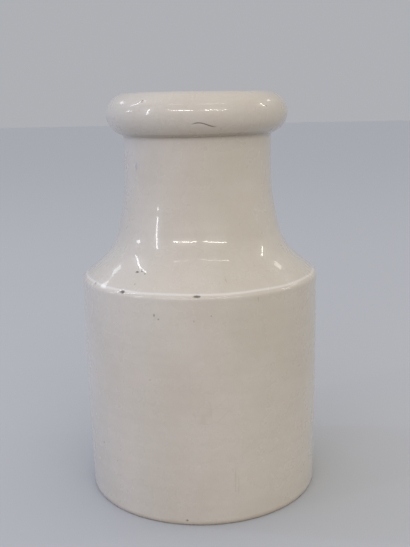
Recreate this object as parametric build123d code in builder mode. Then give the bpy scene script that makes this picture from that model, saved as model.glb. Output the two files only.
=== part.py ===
from build123d import *
from math import cos, radians, sin, sqrt, tan
import os

# Glazed earthenware grocer's mustard jar: a heavy straight-sided crock with a broad
# sloping shoulder, a drawn-in neck and a thick rolled rim. It is open at the mouth and
# made in one piece. Millimetres, +Z up, origin at the centre of the foot.

# ---- Driving dimensions ----

height = 225.0             # foot to crest of the rim
body_diameter = 133.4      # at the ridge between side and shoulder
neck_diameter = 82.1       # outside, straight part
wall = 8.0                 # side, shoulder and neck
floor_thickness = 8.5      # over the foot recess

foot_taper = 0.95          # how much smaller the foot's radius is than the ridge's
side_swell = 0.47          # outward bow of the side at mid-height
heel_fillet = 1.0          # outer edge of the foot
foot_ring_width = 11.0     # radial width of the ring it stands on
foot_recess = 2.5          # depth of the hollow under the floor
recess_bevel = 3.0         # radial width of the sloping edge of that hollow

ridge_fillet = 3.5         # rounding of the edge between side and shoulder
slope_angle = 38.75        # shoulder's straight slope above the horizontal, degrees
long_curve_angle = 14.25   # turn made by the long curve into the neck, degrees
slope_share = 0.3525       # of the shoulder's inward run, taken by the straight slope
tight_curve_share = 0.4805  # of that run, taken by the tight curve above the slope

neck_straight = 17.1       # upright stretch of the neck under the rim
rim_roll = 11.5            # radius of the rolled rim's round section
rim_overhang = 8.95        # how far the rim stands out past the neck
under_rim_fillet = 1.2     # hollow corner where the rim meets the neck

inside_corner = 10.0       # rounding inside at the foot and under the shoulder

# ---- Worked out from them ----

body_radius = body_diameter / 2
neck_radius = neck_diameter / 2
bore_radius = neck_radius - wall
cavity_radius = body_radius - wall

foot_radius = body_radius - foot_taper
recess_radius = foot_radius - foot_ring_width
floor_top = foot_recess + floor_thickness

# The shoulder runs inwards from the ridge to the neck as a slope, a tight curve and a
# long curve, each tangent to the next. Its radii follow from the run they share.
tight_curve_angle = 90 - slope_angle - long_curve_angle
shoulder_run = body_radius - neck_radius
slope_run = shoulder_run * slope_share
tight_run = shoulder_run * tight_curve_share
long_run = shoulder_run - slope_run - tight_run
cos_long = cos(radians(long_curve_angle))
slope_length = slope_run / cos(radians(slope_angle))
tight_radius = tight_run / (cos_long - sin(radians(slope_angle)))
long_radius = long_run / (1 - cos_long)

slope_rise = slope_length * sin(radians(slope_angle))
tight_rise = tight_radius * (cos(radians(slope_angle)) - sin(radians(long_curve_angle)))
long_rise = long_radius * sin(radians(long_curve_angle))
shoulder_rise = slope_rise + tight_rise + long_rise

# Rolled rim: a round section whose centre lies a little inside the neck's surface.
roll_centre_radius = neck_radius + rim_overhang - rim_roll
roll_centre_height = height - rim_roll
roll_inset = neck_radius - roll_centre_radius
under_rim_height = roll_centre_height - sqrt(rim_roll**2 - roll_inset**2)
lip_radius = roll_centre_radius - bore_radius

neck_start_height = under_rim_height - neck_straight
ridge_height = neck_start_height - shoulder_rise

# Inside, the shoulder is the same path one wall thickness in.
slope_setback = wall * (1 - sin(radians(slope_angle))) / cos(radians(slope_angle))
inner_slope_length = slope_length - slope_setback
inner_ridge_height = (
    ridge_height
    - wall * cos(radians(slope_angle))
    + slope_setback * sin(radians(slope_angle))
)
half_turn = radians((90 - slope_angle) / 2)
inner_ridge_fillet = min(inside_corner, 0.9 * inner_slope_length / tan(half_turn))


def shoulder_path(start, slope, tight, long):
    """Straight slope, tight curve and long curve from start up; gives back the end point."""
    straight = PolarLine(start, slope, 180 - slope_angle)
    bend = JernArc(straight @ 1, straight % 1, tight, -tight_curve_angle)
    upturn = JernArc(bend @ 1, bend % 1, long, -long_curve_angle)
    return upturn @ 1


def corner(outline, radius, height_above_foot):
    """The outline's corner at this radius and height."""
    return outline.vertices().sort_by_distance((radius, height_above_foot))[0]


# ---- Jar ----

with BuildPart() as jar:
    # Outside, with the hollow under the foot and the shape up to the rim's crest
    with BuildSketch(Plane.XZ) as outside:
        with BuildLine():
            underside = Polyline(
                (0, foot_recess),
                (recess_radius - recess_bevel, foot_recess),
                (recess_radius, 0),
                (foot_radius, 0),
            )
            side = ThreePointArc(
                underside @ 1,
                ((foot_radius + body_radius) / 2 + side_swell, ridge_height / 2),
                (body_radius, ridge_height),
            )
            neck_start = shoulder_path(side @ 1, slope_length, tight_radius, long_radius)
            neck = Line(neck_start, (neck_radius, under_rim_height))
            rim = ThreePointArc(
                neck @ 1,
                (roll_centre_radius + rim_roll, roll_centre_height),
                (roll_centre_radius, height),
            )
            Polyline(rim @ 1, (0, height), underside @ 0)
        make_face()
        fillet(corner(outside, foot_radius, 0), heel_fillet)
        fillet(corner(outside, body_radius, ridge_height), ridge_fillet)
        fillet(corner(outside, neck_radius, under_rim_height), under_rim_fillet)
    revolve(axis=Axis.Z)

    # Hollow, from the floor up through the neck and out over the lip
    with BuildSketch(Plane.XZ) as hollow:
        with BuildLine():
            inner_wall = Polyline(
                (0, floor_top),
                (cavity_radius, floor_top),
                (cavity_radius, inner_ridge_height),
            )
            bore_start = shoulder_path(
                inner_wall @ 1, inner_slope_length, tight_radius + wall, long_radius + wall
            )
            bore = Line(bore_start, (bore_radius, height - lip_radius))
            lip = RadiusArc(bore @ 1, (roll_centre_radius, height), lip_radius)
            Polyline(lip @ 1, (0, height), inner_wall @ 0)
        make_face()
        fillet(corner(hollow, cavity_radius, floor_top), inside_corner)
        fillet(corner(hollow, cavity_radius, inner_ridge_height), inner_ridge_fillet)
    revolve(axis=Axis.Z, mode=Mode.SUBTRACT)

jar.part.label = "jar"

os.makedirs("parts", exist_ok=True)
export_step(jar.part, "parts/jar.step")

box = jar.part.bounding_box()
print(f"jar: {box.size.X:.2f} x {box.size.Y:.2f} x {box.size.Z:.2f} mm")
print(f"solid: {jar.part.volume / 1e6:.3f} litres")
print(f"ridge at {ridge_height:.2f}, neck from {neck_start_height:.2f} mm")
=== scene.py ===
from math import acos, cos, pi, radians, sin, sqrt, tan

import bpy
import numpy as np
from mathutils import Matrix, Vector


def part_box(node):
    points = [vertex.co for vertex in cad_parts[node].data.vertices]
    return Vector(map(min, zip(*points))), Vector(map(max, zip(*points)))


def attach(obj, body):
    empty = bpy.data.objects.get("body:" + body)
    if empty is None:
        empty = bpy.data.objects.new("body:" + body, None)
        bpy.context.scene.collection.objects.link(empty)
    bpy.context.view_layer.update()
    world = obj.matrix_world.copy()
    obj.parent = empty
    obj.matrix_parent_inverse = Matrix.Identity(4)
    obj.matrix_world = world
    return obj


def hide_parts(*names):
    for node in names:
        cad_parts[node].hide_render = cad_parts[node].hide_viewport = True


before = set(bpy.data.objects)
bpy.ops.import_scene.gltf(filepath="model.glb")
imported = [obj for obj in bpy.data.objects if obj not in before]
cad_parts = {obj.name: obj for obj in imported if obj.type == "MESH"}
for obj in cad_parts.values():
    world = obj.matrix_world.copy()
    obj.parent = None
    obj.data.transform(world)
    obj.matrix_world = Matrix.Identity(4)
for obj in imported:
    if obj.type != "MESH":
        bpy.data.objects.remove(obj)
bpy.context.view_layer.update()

MM = 0.001

# ---- The jar's sizes, in millimetres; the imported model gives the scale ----

HEIGHT = 225.0
BODY_RADIUS = 66.7         # at the ridge between side and shoulder
NECK_RADIUS = 41.05
WALL = 8.0
FLOOR_TOP = 11.0           # the floor's upper side inside
FOOT_RADIUS = 65.75
RECESS_RADIUS = 54.75      # the hollow under the floor
RECESS_BEVEL = 3.0
FOOT_RECESS = 2.5
SIDE_SWELL = 0.47          # outward bow of the side at mid-height
SLOPE_ANGLE = radians(38.75)   # the shoulder's straight slope
LONG_ANGLE = radians(14.25)    # turn made by the long curve into the neck
SLOPE_SHARE = 0.3525       # of the shoulder's inward run
TIGHT_SHARE = 0.4805
NECK_STRAIGHT = 17.1
RIM_ROLL = 11.5            # radius of the rolled rim's section
RIM_OVERHANG = 8.95
RIDGE_REACH = 1.5          # how far from each corner its rounding starts
UNDER_RIM_REACH = 1.1
HEEL_REACH = 1.2
INSIDE_REACH = 5.5

ROLL_RADIUS = NECK_RADIUS + RIM_OVERHANG - RIM_ROLL
ROLL_HEIGHT = HEIGHT - RIM_ROLL
UNDER_RIM = ROLL_HEIGHT - sqrt(RIM_ROLL**2 - (NECK_RADIUS - ROLL_RADIUS) ** 2)
BORE_RADIUS = NECK_RADIUS - WALL
CAVITY_RADIUS = BODY_RADIUS - WALL
LIP_RADIUS = ROLL_RADIUS - BORE_RADIUS
RUN = BODY_RADIUS - NECK_RADIUS
SLOPE_LENGTH = RUN * SLOPE_SHARE / cos(SLOPE_ANGLE)
TIGHT_RADIUS = RUN * TIGHT_SHARE / (cos(LONG_ANGLE) - sin(SLOPE_ANGLE))
LONG_RADIUS = RUN * (1 - SLOPE_SHARE - TIGHT_SHARE) / (1 - cos(LONG_ANGLE))
RIDGE_HEIGHT = (
    UNDER_RIM
    - NECK_STRAIGHT
    - SLOPE_LENGTH * sin(SLOPE_ANGLE)
    - TIGHT_RADIUS * (cos(SLOPE_ANGLE) - sin(LONG_ANGLE))
    - LONG_RADIUS * sin(LONG_ANGLE)
)

low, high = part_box("jar")
UNIT = (high.z - low.z) / (HEIGHT * MM)
METRES = MM * UNIT         # metres in a millimetre of the sizes above

# ---- How close together the mesh's rows and columns lie ----

PATH_STEP = 0.15           # millimetres between points of the exact outline
HIDDEN_ROWS = 6.0          # millimetres apart, inside and underneath
SHOWN_ROWS = 1.25
RIDGE_ROWS = 0.4
CRACK_ROWS = 0.3
JUNCTION_ROWS = 0.35       # where the rim meets the neck
RECESS_ROWS = 1.2
LIP_ROWS = 1.0
RIDGE_ZONE = 3.0           # how far each way the closer rows reach, in millimetres
CRACK_ZONE = 2.4
JUNCTION_ZONE = 1.6
RECESS_ZONE = 6.0
LIP_ZONE = 9.0
PAST_TOP = 6.0             # the shown skin ends this far past the rim's top
PAST_HEEL = 3.0            # its rows start this far under the heel
COLUMN_GAP = radians(1.32)
MARKED_COLUMN_GAP = radians(0.5)

# ---- Marks with real depth: azimuth in degrees from the front to the right, sizes in mm ----

CHIPS = [  # azimuth, height, half width, half height, depth
    (-37.5, 125.2, 1.5, 0.9, 0.55),
    (-1.5, 125.4, 2.0, 0.7, 0.5),
    (-60.0, 125.6, 1.2, 0.7, 0.35),
    (118.0, 125.3, 1.6, 0.8, 0.45),
    (-151.0, 125.2, 1.3, 0.9, 0.4),
]
CHIP_COLUMNS = 3.5         # degrees each side of a chip with close columns
CRACK_COLUMNS = 9.5
CRACK_AZIMUTH = 4.0        # the short wavy crack low on the front of the rim
CRACK_HEIGHT = 208.6
CRACK_HALF = 7.2           # half its length
CRACK_RISE = 1.05
CRACK_BEND = 2.6           # how far its wave turns over that half, in radians
CRACK_PHASE = 0.95
CRACK_WIDTH = 0.22
CRACK_DEPTH = 0.12


# ---- Outline of the section: points (radius, height) in millimetres ----


def straight(start, end):
    """Points along a line, without its last one."""
    count = max(2, int(np.hypot(*(np.subtract(end, start))) / PATH_STEP))
    t = np.linspace(0, 1, count, endpoint=False)[:, None]
    return np.array(start) * (1 - t) + np.array(end) * t


def arc(centre, radius, first, last):
    """Points along an arc between two angles, without its last one."""
    count = max(4, int(abs(last - first) * radius / PATH_STEP))
    a = np.linspace(first, last, count, endpoint=False)
    return np.stack([centre[0] + radius * np.cos(a), centre[1] + radius * np.sin(a)], -1)


def shoulder(start, slope, tight, long):
    """Straight slope, tight curve and long curve from the ridge up to the neck."""
    r, z = start
    top_r = r - slope * cos(SLOPE_ANGLE)
    top_z = z + slope * sin(SLOPE_ANGLE)
    tight_centre = (top_r + tight * sin(SLOPE_ANGLE), top_z + tight * cos(SLOPE_ANGLE))
    first = pi + pi / 2 - SLOPE_ANGLE
    turned = pi + LONG_ANGLE
    join = (tight_centre[0] + tight * cos(turned), tight_centre[1] + tight * sin(turned))
    long_centre = (join[0] - long * cos(turned), join[1] - long * sin(turned))
    return np.concatenate(
        [
            straight(start, (top_r, top_z)),
            arc(tight_centre, tight, first, turned),
            arc(long_centre, long, turned, pi),
        ]
    )


def soften(path, corner, reach):
    """Rounds the path near a corner with a curve that starts and ends a reach away."""
    gap = np.hypot(path[:, 0] - corner[0], path[:, 1] - corner[1])
    near = np.nonzero(gap < reach)[0]
    a, b = near[0], near[-1]
    t = np.linspace(0, 1, 24)[:, None]
    p, c, q = path[a], np.array(corner), path[b]
    curve = p * (1 - t) ** 2 + c * 2 * t * (1 - t) + q * t**2
    return np.concatenate([path[:a], curve, path[b + 1 :]])


def outline():
    """The closed section from the middle of the underside round to the middle of the floor."""
    under = [
        straight((0, FOOT_RECESS), (RECESS_RADIUS - RECESS_BEVEL, FOOT_RECESS)),
        straight((RECESS_RADIUS - RECESS_BEVEL, FOOT_RECESS), (RECESS_RADIUS, 0)),
        straight((RECESS_RADIUS, 0), (FOOT_RADIUS, 0)),
    ]
    t = np.linspace(0, 1, int(RIDGE_HEIGHT / PATH_STEP), endpoint=False)
    bow = SIDE_SWELL * 4 * t * (1 - t)
    taper = (BODY_RADIUS - FOOT_RADIUS) * t
    side = np.stack([FOOT_RADIUS + taper + bow, RIDGE_HEIGHT * t], -1)
    ridge = (BODY_RADIUS, RIDGE_HEIGHT)
    outer_shoulder = shoulder(ridge, SLOPE_LENGTH, TIGHT_RADIUS, LONG_RADIUS)
    neck = straight((NECK_RADIUS, UNDER_RIM - NECK_STRAIGHT), (NECK_RADIUS, UNDER_RIM))
    below = acos((NECK_RADIUS - ROLL_RADIUS) / RIM_ROLL)
    roll = arc((ROLL_RADIUS, ROLL_HEIGHT), RIM_ROLL, -below, pi / 2)
    lip = arc((ROLL_RADIUS, HEIGHT - LIP_RADIUS), LIP_RADIUS, pi / 2, pi)
    setback = WALL * (1 - sin(SLOPE_ANGLE)) / cos(SLOPE_ANGLE)
    inner_ridge = RIDGE_HEIGHT - WALL * cos(SLOPE_ANGLE) + setback * sin(SLOPE_ANGLE)
    inner_corner = (CAVITY_RADIUS, inner_ridge)
    inner_shoulder = shoulder(
        inner_corner, SLOPE_LENGTH - setback, TIGHT_RADIUS + WALL, LONG_RADIUS + WALL
    )[::-1]
    bore = straight((BORE_RADIUS, HEIGHT - LIP_RADIUS), tuple(inner_shoulder[0]))
    inner_wall = straight(inner_corner, (CAVITY_RADIUS, FLOOR_TOP))
    floor = straight((CAVITY_RADIUS, FLOOR_TOP), (0, FLOOR_TOP))
    path = np.concatenate(
        under + [side, outer_shoulder, neck, roll, lip, bore, inner_shoulder, inner_wall, floor]
    )
    path = np.concatenate([path, [[0.0, FLOOR_TOP]]])
    path = soften(path, (FOOT_RADIUS, 0), HEEL_REACH)
    path = soften(path, ridge, RIDGE_REACH)
    path = soften(path, (NECK_RADIUS, UNDER_RIM), UNDER_RIM_REACH)
    path = soften(path, (CAVITY_RADIUS, FLOOR_TOP), INSIDE_REACH)
    return soften(path, inner_corner, INSIDE_REACH)


def spread(position, spacing):
    """Picks places along position so that neighbours lie one local spacing apart."""
    middle = (spacing[1:] + spacing[:-1]) / 2
    count = np.concatenate([[0], np.cumsum(np.diff(position) / middle)])
    total = int(np.ceil(count[-1]))
    return np.interp(np.linspace(0, count[-1], total + 1), count, position)


def crack_line(along):
    """Height of the rim's crack above its middle, at a distance along it."""
    return CRACK_RISE * np.cos(along / CRACK_HALF * CRACK_BEND + CRACK_PHASE)


def lay_rows():
    """Rows along the outline: share of its length, place, outward normal, whether shown."""
    path = outline()
    steps = np.hypot(*np.diff(path, axis=0).T)
    length = np.concatenate([[0], np.cumsum(steps)])
    outer_end = length[np.argmax(path[:, 1])] + PAST_TOP
    foot = length[np.argmin(np.hypot(path[:, 0] - FOOT_RADIUS, path[:, 1] - 1.0))]
    outside = (length > foot - PAST_HEEL) & (length < outer_end)
    on_rim = path[:, 0] > NECK_RADIUS + 1
    spacing = np.full(len(path), HIDDEN_ROWS)
    spacing[outside] = SHOWN_ROWS
    in_ridge = np.abs(path[:, 1] - RIDGE_HEIGHT - 0.8) < RIDGE_ZONE
    in_crack = (np.abs(path[:, 1] - CRACK_HEIGHT) < CRACK_ZONE) & on_rim
    in_junction = np.abs(path[:, 1] - UNDER_RIM) < JUNCTION_ZONE
    in_recess = np.abs(path[:, 0] - RECESS_RADIUS + 2) < RECESS_ZONE
    spacing[outside & in_ridge] = RIDGE_ROWS
    spacing[outside & in_crack] = CRACK_ROWS
    spacing[outside & in_junction] = JUNCTION_ROWS
    spacing[(length <= foot - PAST_HEEL) & in_recess] = RECESS_ROWS
    spacing[(length >= outer_end) & (path[:, 1] > HEIGHT - LIP_ZONE)] = LIP_ROWS
    smooth = np.convolve(np.pad(spacing, 12, mode="edge"), np.ones(25) / 25, mode="valid")
    at = spread(length, smooth)
    rows = np.stack([np.interp(at, length, path[:, i]) for i in (0, 1)], -1)
    tangent = np.gradient(rows, axis=0)
    tangent /= np.hypot(*tangent.T)[:, None]
    normal = np.stack([tangent[:, 1], -tangent[:, 0]], -1)
    shown = (at > foot) & (at < outer_end)
    return at / length[-1], rows, normal, shown


def lay_columns():
    """Azimuths of the columns, closer together where a mark needs them."""
    turn = np.linspace(-pi, pi, 7200)
    gap = np.full(len(turn), COLUMN_GAP)
    for azimuth, half in [(c[0], CHIP_COLUMNS) for c in CHIPS] + [(CRACK_AZIMUTH, CRACK_COLUMNS)]:
        gap[np.abs(np.degrees(turn) - azimuth) < half] = MARKED_COLUMN_GAP
    gap = np.convolve(np.pad(gap, 40, mode="wrap"), np.ones(81) / 81, mode="valid")
    return spread(turn, gap)[:-1]


def unevenness(a, r, z, shown):
    """Millimetres the skin stands off the true shape: slightly oval and rippled."""
    push = 0.16 * np.cos(2 * a + 0.7) * np.clip(z / 30, 0, 1)
    push = push + 0.07 * np.sin(3 * a + z / 24 + 0.4) * np.sin(z / 31 + 1.1)
    push = push + 0.022 * np.sin(z * 2 * pi / 9.5 + 0.8 * np.sin(a))
    push = push + 0.012 * np.sin(z * 2 * pi / 5.3 + 1.3 * np.cos(2 * a + 1.0))
    push = push + 0.03 * np.sin(7 * a + z / 11) * np.cos(5 * a - z / 17 + 2.0)
    return push * np.where(shown, 1.0, 0.5) * np.clip(r / 20, 0, 1)


def dents(a, r, z, shown):
    """Depth of the chips along the ridge and of the crack's groove on the rim."""
    depth = np.zeros_like(a + z)
    for azimuth, level, half_w, half_h, deep in CHIPS:
        along = (a - radians(azimuth)) * r
        rough = 1 + 0.25 * np.sin(along * 3.1 + z * 2.3) + 0.15 * np.sin(along * 5.7 - z * 4.1)
        hit = (along / half_w) ** 2 + ((z - level) / half_h) ** 2
        depth = depth + shown * deep * rough * np.exp(-(hit**1.6))
    along = (a - radians(CRACK_AZIMUTH)) * r
    off = (z - CRACK_HEIGHT - crack_line(along)) / CRACK_WIDTH
    ends = np.clip((CRACK_HALF - np.abs(along)) / 2.0, 0, 1)
    on_rim = shown & (r > NECK_RADIUS + 1)
    return depth + on_rim * CRACK_DEPTH * ends * np.exp(-(off**2))


def ridge_sway(a, z, shown):
    """The ridge wanders a little up and down on its way round."""
    sway = 0.22 * np.sin(a + 0.6) + 0.12 * np.sin(3 * a + 1.9) + 0.05 * np.sin(8 * a)
    return sway * np.exp(-(((z - RIDGE_HEIGHT) / 9.0) ** 2)) * shown


def skin_faces(n_rows, n_cols, bottom, top):
    """Quads between the rows, closed by a fan round each middle point."""
    faces = []
    last = (n_rows - 1) * n_cols
    for j in range(n_cols):
        k = (j + 1) % n_cols
        faces.append((bottom, k, j))
        faces.append((last + j, last + k, top))
        for i in range(0, last, n_cols):
            faces.append((i + j, i + k, i + n_cols + k, i + n_cols + j))
    return faces


def unwrap(mesh, faces, share, angle, bottom, top):
    """Lays the skin out flat for baking: azimuth across, length along the outline up."""
    n_cols = len(angle)
    coords = []
    for face in faces:
        closing = any(w < bottom and w % n_cols == n_cols - 1 for w in face)
        for v in face:
            if v == bottom:
                coords.append((angle[face[2]], 0.0))
            elif v == top:
                coords.append((angle[face[0] % n_cols], 1.0))
            else:
                first = v % n_cols == 0 and closing
                coords.append((1.0 if first else angle[v % n_cols], share[v // n_cols]))
    layer = mesh.uv_layers.new(name="OFBake")
    layer.data.foreach_set("uv", np.array(coords, np.float32).ravel())


def build_jar():
    """The jar as one turned skin, uneven as thrown and glazed ware is."""
    share, rows, normal, shown = lay_rows()
    columns = lay_columns()
    r = rows[1:-1, 0][:, None]
    z = rows[1:-1, 1][:, None]
    a = columns[None, :]
    shown = shown[1:-1][:, None]
    push = unevenness(a, r, z, shown) - dents(a, r, z, shown)
    radius = r + push * normal[1:-1, 0][:, None]
    height = z + push * normal[1:-1, 1][:, None] + ridge_sway(a, z, shown)
    height = np.where(z < 0.05, 0.0, np.maximum(height, 0.0))
    grid = np.stack([radius * np.sin(a), -radius * np.cos(a), height], -1) * METRES
    n_rows, n_cols = grid.shape[:2]
    points = [tuple(p) for p in grid.reshape(-1, 3)]
    bottom = len(points)
    top = bottom + 1
    points.append((0.0, 0.0, FOOT_RECESS * METRES))
    points.append((0.0, 0.0, FLOOR_TOP * METRES))
    mesh = bpy.data.meshes.new("glazed_jar")
    faces = skin_faces(n_rows, n_cols, bottom, top)
    mesh.from_pydata(points, [], faces)
    unwrap(mesh, faces, share[1:-1], (columns + pi) / (2 * pi), bottom, top)
    mesh.polygons.foreach_set("use_smooth", [True] * len(mesh.polygons))
    mesh.update()
    jar = bpy.data.objects.new("glazed_jar", mesh)
    bpy.context.scene.collection.objects.link(jar)
    return jar


# ---- Glaze ----


class Graph:
    """Short names for making shader nodes."""

    def __init__(self, tree):
        self.tree = tree

    def node(self, kind, **settings):
        """A new node with these settings."""
        made = self.tree.nodes.new(kind)
        for name, value in settings.items():
            setattr(made, name, value)
        return made

    def put(self, socket, value):
        """Sets a socket to a value, or links it to another socket."""
        if isinstance(value, bpy.types.NodeSocket):
            self.tree.links.new(value, socket)
        else:
            socket.default_value = value

    def math(self, operation, a, b=0.0, c=0.0):
        """One number worked out from up to three."""
        made = self.node("ShaderNodeMath", operation=operation)
        for socket, value in zip(made.inputs, (a, b, c)):
            self.put(socket, value)
        return made.outputs[0]

    def step(self, value, start, end, first=0.0, last=1.0):
        """A smooth step from first to last while the value goes from start to end."""
        made = self.node("ShaderNodeMapRange", interpolation_type="SMOOTHSTEP")
        names = ("Value", "From Min", "From Max", "To Min", "To Max")
        for name, number in zip(names, (value, start, end, first, last)):
            self.put(made.inputs[name], number)
        return made.outputs[0]

    def noise(self, place, scale, detail=3.0, rough=0.5, out="Fac"):
        """Cloudy noise at a place, with this many cells to a metre."""
        made = self.node("ShaderNodeTexNoise")
        self.put(made.inputs["Vector"], place)
        self.put(made.inputs["Scale"], scale)
        self.put(made.inputs["Detail"], detail)
        self.put(made.inputs["Roughness"], rough)
        return made.outputs[out]

    def mix(self, amount, a, b):
        """Colour a turning into colour b."""
        made = self.node("ShaderNodeMix", data_type="RGBA")
        self.put(made.inputs[0], amount)
        self.put(made.inputs[6], a)
        self.put(made.inputs[7], b)
        return made.outputs[2]

    def xyz(self, place):
        """The three coordinates of a place."""
        made = self.node("ShaderNodeSeparateXYZ")
        self.put(made.inputs[0], place)
        return made.outputs

    def most(self, values):
        """The largest of several numbers."""
        total = values[0]
        for value in values[1:]:
            total = self.math("MAXIMUM", total, value)
        return total

    def product(self, *values):
        """Several numbers multiplied together."""
        total = values[0]
        for value in values[1:]:
            total = self.math("MULTIPLY", total, value)
        return total

    def away(self, value, middle):
        """How far a number is from a middle, either way."""
        return self.math("ABSOLUTE", self.math("SUBTRACT", value, middle))

    def tint(self, colour, mask, amount, shade):
        """The colour turned towards a shade where the mask shows, as far as the amount."""
        return self.mix(self.math("MULTIPLY", mask, amount), colour, shade)


IVORY_WARM = (0.560, 0.495, 0.405, 1)
IVORY_COOL = (0.605, 0.545, 0.460, 1)
ROSY = (0.59, 0.49, 0.41, 1)
GRAIN = (0.42, 0.38, 0.32, 1)
CRACKLE = (0.36, 0.30, 0.22, 1)
PINHOLE = (0.16, 0.13, 0.10, 1)
# lighter line along the ridge's top: thin glaze and a painted highlight
THIN_GLAZE_AND_HIGHLIGHT = (0.78, 0.74, 0.68, 1)
# dark band under the rim: pooled glaze and painted shade
POOL_AND_SHADE_UNDER_RIM = (0.34, 0.29, 0.22, 1)
CRACK_BROWN = (0.10, 0.075, 0.05, 1)
# brown band just above the ground: wear and painted contact shade
WORN_BROWN_AND_CONTACT_SHADE = (0.38, 0.29, 0.19, 1)
CLAY_DARK = (0.36, 0.28, 0.19, 1)
CLAY_PALE = (0.50, 0.42, 0.31, 1)

# where each tint starts and stops fading, in metres
THIN_HIGHLIGHT_EDGE = (0.0001, 0.0007)       # either way from the ridge's top
POOL_AND_SHADE_EDGE = (0.0003, 0.0030)       # either way from the corner under the rim
CRACK_EDGE = (0.00012, 0.00042)    # either way from the crack's middle
BARE_EDGE = (0.0004, 0.0011)       # above the ground
WORN_AND_CONTACT_SHADE_EDGE = (0.0010, 0.0034)
RIDGE_TOP = RIDGE_HEIGHT + 1.55    # middle of the light line along the ridge, part thin glaze and part painted highlight, in millimetres

# Specks, pits and stains, and one darker bluish-grey patch on the neck's left, those on the chips
# first:
# azimuth, height, half width, half height in mm, darkness, colour
SPECK = (0.075, 0.06, 0.045, 1.0)
STAIN = (0.25, 0.17, 0.10, 1.0)
BLUISH_PATCH = (0.30, 0.31, 0.37, 1.0)
MARKS = [
    (-37.5, 125.2, 1.5, 0.8, 0.85, SPECK),
    (-1.5, 125.4, 2.1, 0.55, 0.8, SPECK),
    (-60.0, 125.6, 1.0, 0.6, 0.6, SPECK),
    (118.0, 125.3, 1.5, 0.7, 0.8, SPECK),
    (-151.0, 125.2, 1.2, 0.8, 0.7, SPECK),
    (-36.0, 134.0, 1.1, 0.5, 0.85, SPECK),
    (-33.0, 134.6, 0.8, 0.45, 0.7, SPECK),
    (-30.5, 133.6, 0.5, 0.4, 0.6, SPECK),
    (-33.0, 129.0, 0.5, 0.4, 0.5, SPECK),
    (-20.5, 115.5, 0.55, 0.9, 0.6, SPECK),
    (-18.5, 113.5, 0.5, 0.5, 0.45, SPECK),
    (-3.0, 113.0, 0.4, 0.5, 0.45, SPECK),
    (13.0, 131.5, 0.35, 1.3, 0.3, STAIN),
    (4.5, 115.5, 0.4, 0.4, 0.4, SPECK),
    (26.0, 122.0, 0.4, 1.6, 0.28, STAIN),
    (-56.0, 36.0, 0.6, 0.5, 0.6, SPECK),
    (-34.5, 220.4, 0.55, 0.8, 0.6, SPECK),
    (46.0, 217.0, 0.8, 0.6, 0.5, STAIN),
    (-52.0, 187.0, 1.4, 2.3, 0.45, BLUISH_PATCH),
    (14.5, 26.0, 0.5, 8.0, 0.16, STAIN),
    (16.0, 22.0, 0.5, 6.0, 0.13, STAIN),
    (-8.0, 3.0, 0.7, 0.6, 0.7, SPECK),
    (150.0, 96.0, 0.8, 0.6, 0.6, SPECK),
    (-128.0, 58.0, 0.6, 0.6, 0.6, SPECK),
    (96.0, 171.0, 0.6, 0.7, 0.5, SPECK),
    (-100.0, 214.0, 0.8, 0.6, 0.5, STAIN),
    (170.0, 30.0, 0.5, 9.0, 0.16, STAIN),
]


def outer_radius(level):
    """The jar's outer radius at a height, in millimetres."""
    path = outline()
    start = np.argmax(path[:, 0] >= FOOT_RADIUS - 2)
    outer = path[start : np.argmax(path[:, 1]) + 1]
    return outer[np.argmin(np.abs(outer[:, 1] - level)), 0]


def body_colour(g, place, grain):
    """Cream, in slow clouds of warmer and cooler ivory, with rosy patches and a fine grain."""
    clouds = g.step(g.noise(place, 16.0, 4.0, 0.55), 0.35, 0.65)
    colour = g.mix(clouds, IVORY_WARM, IVORY_COOL)
    rosy = g.step(g.noise(place, 33.0, 3.0, 0.5), 0.56, 0.74, 0.0, 0.35)
    colour = g.mix(rosy, colour, ROSY)
    return g.mix(g.step(grain, 0.3, 0.75, 0.0, 0.09), colour, GRAIN)


def crackle_mask(g, place):
    """Fine crackle lines, only here and there."""
    warp = g.node("ShaderNodeVectorMath", operation="MULTIPLY_ADD")
    g.put(warp.inputs[0], g.noise(place, 70.0, 2.0, 0.5, out="Color"))
    warp.inputs[1].default_value = (0.004, 0.004, 0.004)
    g.put(warp.inputs[2], place)
    cells = g.node("ShaderNodeTexVoronoi", feature="DISTANCE_TO_EDGE")
    g.put(cells.inputs["Vector"], warp.outputs[0])
    cells.inputs["Scale"].default_value = 115.0
    line = g.step(cells.outputs["Distance"], 0.0, 0.028, 1.0, 0.0)
    patchy = g.step(g.noise(place, 24.0, 2.0, 0.5), 0.48, 0.68)
    return g.product(line, patchy)


def pinhole_mask(g, place):
    """Scattered pinholes: a small dot in a few of the cells."""
    dots = g.node("ShaderNodeTexVoronoi", feature="F1")
    g.put(dots.inputs["Vector"], place)
    dots.inputs["Scale"].default_value = 150.0
    cell = g.node("ShaderNodeSeparateColor")
    g.put(cell.inputs[0], dots.outputs["Color"])
    chosen = g.math("GREATER_THAN", cell.outputs[0], 0.955)
    reach = g.math("MULTIPLY_ADD", cell.outputs[1], 0.045, 0.025)
    near = g.math("LESS_THAN", dots.outputs["Distance"], reach)
    return g.product(chosen, near)


def thin_glaze_highlight_mask(g, level, radius):
    """Where the glaze has drawn thin along the top of the ridge, made lighter still as a painted
    highlight.
    """
    gap = g.away(level, RIDGE_TOP * METRES)
    outer = g.math("GREATER_THAN", radius, (BODY_RADIUS - 5) * METRES)
    return g.product(g.step(gap, *THIN_HIGHLIGHT_EDGE, 1.0, 0.0), outer)


def pool_and_shade_mask(g, z, radius):
    """Where the glaze has pooled in the corner under the rim, darkened further as painted shade.
    """
    gap = g.away(z, (UNDER_RIM + 0.4) * METRES)
    outside = g.math("GREATER_THAN", radius, (NECK_RADIUS - 1) * METRES)
    inside = g.math("LESS_THAN", radius, (NECK_RADIUS + 4) * METRES)
    return g.product(g.step(gap, *POOL_AND_SHADE_EDGE, 1.0, 0.0), outside, inside)


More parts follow.
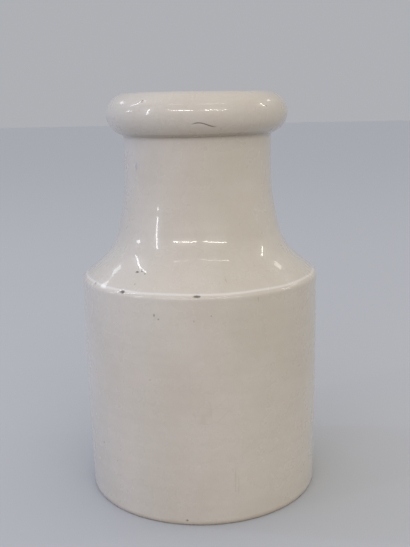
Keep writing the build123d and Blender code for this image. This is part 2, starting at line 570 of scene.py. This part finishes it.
def mark_mask(g, place, frayed, mark):
    """One ragged spot on the surface, as strong in its middle as the mark says."""
    azimuth, height, half_w, half_h, dark, _ = mark
    a = radians(azimuth)
    r = outer_radius(height)
    shift = g.node("ShaderNodeVectorMath", operation="SUBTRACT")
    g.put(shift.inputs[0], place)
    shift.inputs[1].default_value = Vector((r * sin(a), -r * cos(a), height)) * METRES
    turn = g.node("ShaderNodeVectorRotate", rotation_type="Z_AXIS")
    g.put(turn.inputs["Vector"], shift.outputs[0])
    turn.inputs["Angle"].default_value = -a
    size = g.node("ShaderNodeVectorMath", operation="MULTIPLY")
    g.put(size.inputs[0], turn.outputs[0])
    depth = 2.5 * max(half_w, half_h)
    size.inputs[1].default_value = [1 / (s * METRES) for s in (half_w, depth, half_h)]
    far = g.node("ShaderNodeVectorMath", operation="LENGTH")
    g.put(far.inputs[0], size.outputs[0])
    ragged = g.math("ADD", far.outputs["Value"], g.math("MULTIPLY_ADD", frayed, 1.2, -0.6))
    return g.step(ragged, 0.55, 1.15, dark, 0.0)


def crack_mask(g, x, y, z, radius, wobble):
    """The rim's short wavy crack, along the groove in the mesh."""
    angle = g.math("ARCTAN2", x, g.math("MULTIPLY", y, -1.0))
    turned = g.math("SUBTRACT", angle, radians(CRACK_AZIMUTH))
    along = g.math("MULTIPLY", turned, outer_radius(CRACK_HEIGHT) * METRES)
    phase = g.math("MULTIPLY_ADD", along, CRACK_BEND / (CRACK_HALF * METRES), CRACK_PHASE)
    rise = g.math("MULTIPLY", g.math("COSINE", phase), CRACK_RISE * METRES)
    middle = g.math("ADD", rise, CRACK_HEIGHT * METRES)
    level = g.math("ADD", z, g.math("MULTIPLY", wobble, 0.3))
    line = g.step(g.away(level, middle), *CRACK_EDGE, 1.0, 0.0)
    reach = g.math("ABSOLUTE", along)
    short = g.step(reach, (CRACK_HALF - 3.5) * METRES, CRACK_HALF * METRES, 1.0, 0.0)
    on_rim = g.math("GREATER_THAN", radius, (NECK_RADIUS + 1) * METRES)
    front = g.math("LESS_THAN", y, 0.0)
    return g.product(line, short, on_rim, front)


def set_finish(g, shader, place, bare, crack, chips):
    """Glossy glaze, softly uneven, and dull clay, crack and chips."""
    gloss = g.step(g.noise(place, 45.0, 4.0, 0.6), 0.3, 0.7, 0.24, 0.32)
    dull = g.most([bare, g.math("MULTIPLY", crack, 0.8)] + chips)
    rough = g.math("MAXIMUM", gloss, g.math("MULTIPLY", dull, 0.75))
    g.put(shader.inputs["Roughness"], rough)
    shader.inputs["IOR"].default_value = 1.5
    shader.inputs["Coat Weight"].default_value = 0.7
    shader.inputs["Coat Roughness"].default_value = 0.05
    shader.inputs["Coat IOR"].default_value = 1.5


def set_relief(g, shader, place, grain, bare, sunk):
    """Fine relief: orange-peel glaze, grainy clay and sunken specks."""
    peel = g.math("MULTIPLY", g.noise(place, 190.0, 2.0, 0.5), 0.6)
    slow = g.math("MULTIPLY", g.noise(place, 62.0, 2.0, 0.5), 1.9)
    relief = g.math("ADD", peel, slow)
    relief = g.math("ADD", relief, g.product(bare, grain, 6.0))
    relief = g.math("SUBTRACT", relief, g.math("MULTIPLY", sunk, 7.0))
    bump = g.node("ShaderNodeBump")
    bump.inputs["Strength"].default_value = 0.28
    bump.inputs["Distance"].default_value = 0.00003
    g.put(bump.inputs["Height"], relief)
    g.put(shader.inputs["Normal"], bump.outputs[0])


def glaze():
    """Ivory glaze: crackled and mottled, with specks, stains and a bare foot ring."""
    material = bpy.data.materials.new("ivory_glaze")
    material.use_nodes = True
    tree = material.node_tree
    tree.nodes.clear()
    g = Graph(tree)
    place = g.node("ShaderNodeTexCoord").outputs["Object"]
    x, y, z = g.xyz(place)
    shader = g.node("ShaderNodeBsdfPrincipled")
    out = g.node("ShaderNodeOutputMaterial")
    g.put(out.inputs[0], shader.outputs[0])
    radius = g.math("SQRT", g.math("ADD", g.math("MULTIPLY", x, x), g.math("MULTIPLY", y, y)))

    grain = g.noise(place, 420.0, 2.0, 0.6)
    colour = body_colour(g, place, grain)
    colour = g.tint(colour, crackle_mask(g, place), 0.16, CRACKLE)
    pins = pinhole_mask(g, place)
    colour = g.tint(colour, pins, 0.42, PINHOLE)

    wobble = g.math("MULTIPLY_ADD", g.noise(place, 60.0, 2.0), 0.0008, -0.0004)
    # painted highlight: a light line along the ridge's top, partly thin glaze, partly the light
    # the edge catches
    ridge_thin_and_highlight = thin_glaze_highlight_mask(g, g.math("ADD", z, wobble), radius)
    colour = g.tint(colour, ridge_thin_and_highlight, 0.6, THIN_GLAZE_AND_HIGHLIGHT)
    # painted shade: the corner under the rim darkened, partly for pooled glaze
    colour = g.tint(colour, pool_and_shade_mask(g, z, radius), 0.5, POOL_AND_SHADE_UNDER_RIM)

    specks = []
    frayed = g.noise(place, 900.0, 2.0)
    for mark in MARKS:
        spot = mark_mask(g, place, frayed, mark)
        tint = mark[-1]
        colour = g.mix(spot, colour, tint)
        if tint is SPECK:
            specks.append(spot)
    crack = crack_mask(g, x, y, z, radius, wobble)
    colour = g.tint(colour, crack, 0.8, CRACK_BROWN)

    # bare clay under the foot, and just above it a brown band that is partly wear and partly
    # painted contact shade
    edge = g.math("ADD", z, g.math("MULTIPLY_ADD", g.noise(place, 130.0, 3.0), 0.0014, -0.0007))
    bare = g.step(edge, *BARE_EDGE, 1.0, 0.0)
    clay = g.mix(g.noise(place, 300.0, 4.0, 0.6), CLAY_DARK, CLAY_PALE)
    colour = g.mix(g.step(edge, *WORN_AND_CONTACT_SHADE_EDGE, 0.4, 0.0), colour, WORN_BROWN_AND_CONTACT_SHADE)
    colour = g.mix(bare, colour, clay)
    g.put(shader.inputs["Base Color"], colour)

    set_finish(g, shader, place, bare, crack, specks[: len(CHIPS)])
    set_relief(g, shader, place, grain, bare, g.most(specks + [g.math("MULTIPLY", pins, 0.5)]))
    return material


jar = build_jar()
jar.data.materials.append(glaze())
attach(jar, "root")
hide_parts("jar")


# ---- Floor, light and camera ----

PALE = (0.46, 0.465, 0.475, 1.0)
DIM = (0.30, 0.29, 0.28, 1.0)
BACKDROP = (0.425, 0.435, 0.46, 1.0)


def seen(g):
    """1 for what the camera sees, directly or mirrored or through something clear."""
    ray = g.node("ShaderNodeLightPath").outputs
    flags = (ray["Is Camera Ray"], ray["Is Glossy Ray"], ray["Is Transmission Ray"])
    return g.most(list(flags))


def make_floor():
    """A wide plain pale floor, dimmer where it only bounces light."""
    half = 6.0
    corners = [(-half, -half, 0), (half, -half, 0), (half, half, 0), (-half, half, 0)]
    mesh = bpy.data.meshes.new("floor")
    mesh.from_pydata(corners, [], [(0, 1, 2, 3)])
    floor = bpy.data.objects.new("floor", mesh)
    bpy.context.scene.collection.objects.link(floor)
    material = bpy.data.materials.new("floor_paint")
    material.use_nodes = True
    tree = material.node_tree
    g = Graph(tree)
    shader = tree.nodes["Principled BSDF"]
    shader.inputs["Roughness"].default_value = 0.9
    shader.inputs["Specular IOR Level"].default_value = 0.1
    tree.links.new(g.mix(seen(g), DIM, PALE), shader.inputs["Base Color"])
    mesh.materials.append(material)


def make_world():
    """Soft room light: cool from the left, warm and lower from the front, brightest above."""
    world = bpy.data.worlds.new("room")
    bpy.context.scene.world = world
    world.use_nodes = True
    tree = world.node_tree
    tree.nodes.clear()
    g = Graph(tree)
    x, y, z = g.xyz(g.node("ShaderNodeTexCoord").outputs["Generated"])
    light = g.mix(g.step(x, 0.25, -0.85), (0.98, 0.88, 0.74, 1), (0.80, 1.02, 1.70, 1))
    light = g.mix(g.step(x, 0.2, 1.0), light, (0.90, 0.98, 1.08, 1))
    light = g.mix(g.step(z, 0.15, 0.95), light, (0.80, 0.79, 0.78, 1))
    background = g.node("ShaderNodeBackground")
    tree.links.new(light, background.inputs["Color"])
    backdrop = g.node("ShaderNodeBackground")
    backdrop.inputs["Color"].default_value = BACKDROP
    shown = g.node("ShaderNodeMixShader")
    tree.links.new(seen(g), shown.inputs[0])
    tree.links.new(background.outputs[0], shown.inputs[1])
    tree.links.new(backdrop.outputs[0], shown.inputs[2])
    out = g.node("ShaderNodeOutputWorld")
    tree.links.new(shown.outputs[0], out.inputs[0])


COOL = (0.86, 0.93, 1.0)
WARM = (1.0, 0.95, 0.86)
LAMPS = [  # name, azimuth from the front to the right, elevation, width and height in degrees,
    # brightness, colour
    ("strip_high_left", -31.0, 52.0, 16.0, 0.8, 9.0, WARM),
    ("strip_high_right", 26.0, 52.0, 30.0, 0.8, 10.0, WARM),
    ("strip_low_left", -20.0, 23.0, 30.0, 0.9, 38.0, WARM),
    ("strip_low_right", 23.0, 23.0, 30.0, 0.9, 38.0, WARM),
    ("tall_left", -98.0, 41.0, 1.2, 24.0, 20.0, COOL),
    ("tall_right", 97.0, 27.0, 1.4, 11.0, 20.0, WARM),
    ("pane_far_left", -128.0, 30.0, 9.0, 4.0, 3.0, COOL),
    ("pane_left", -93.0, 15.5, 6.0, 2.5, 10.0, COOL),
    ("pane_far_right", 123.0, 33.0, 7.0, 4.0, 3.5, WARM),
    ("window_left", -62.0, 18.0, 2.0, 22.0, 16.0, COOL),
]
LAMP_DISTANCE = 1.6
LAMP_AIM = 0.16            # height of the point they aim at, in metres


def make_lamps():
    """Narrow soft lamps on a ring round the jar, aimed at its shoulder."""
    target = Vector((0, 0, LAMP_AIM * UNIT))
    for name, azimuth, elevation, width, tall, bright, tint in LAMPS:
        a, e = radians(azimuth), radians(elevation)
        aim = Vector((sin(a) * cos(e), -cos(a) * cos(e), sin(e)))
        data = bpy.data.lights.new(name, "AREA")
        data.shape = "RECTANGLE"
        data.size = 2 * LAMP_DISTANCE * tan(radians(width / 2))
        data.size_y = 2 * LAMP_DISTANCE * tan(radians(tall / 2))
        data.energy = bright * pi * data.size * data.size_y
        data.color = tint
        lamp = bpy.data.objects.new(name, data)
        lamp.location = target + aim * LAMP_DISTANCE
        lamp.rotation_euler = aim.to_track_quat("Z", "Y").to_euler()
        bpy.context.scene.collection.objects.link(lamp)


CAMERA_BACK = 0.4491       # metres in front of the jar's axis
CAMERA_HEIGHT = 0.22275
CAMERA_LENS = 52.43
YAW = 0.0066               # in radians, as are the pitch downwards and the roll
PITCH = 0.2197
ROLL = -0.0185


def make_camera():
    """A close hand-held view, level with the rim and looking a little down."""
    data = bpy.data.cameras.new("camera")
    data.lens = CAMERA_LENS
    data.sensor_width = 36.0
    data.clip_start = 0.01
    camera = bpy.data.objects.new("camera", data)
    forward = Vector((sin(YAW) * cos(PITCH), cos(YAW) * cos(PITCH), -sin(PITCH)))
    right = Vector((cos(YAW), -sin(YAW), 0))
    up = right.cross(forward)
    across = cos(ROLL) * right + sin(ROLL) * up
    upright = cos(ROLL) * up - sin(ROLL) * right
    rotation = Matrix((across, upright, -forward)).transposed().to_4x4()
    place = Matrix.Translation((0, -CAMERA_BACK * UNIT, CAMERA_HEIGHT * UNIT))
    camera.matrix_world = place @ rotation
    bpy.context.scene.collection.objects.link(camera)
    bpy.context.scene.camera = camera


make_floor()
make_world()
make_lamps()
make_camera()
bpy.context.scene.view_settings.view_transform = "Standard"
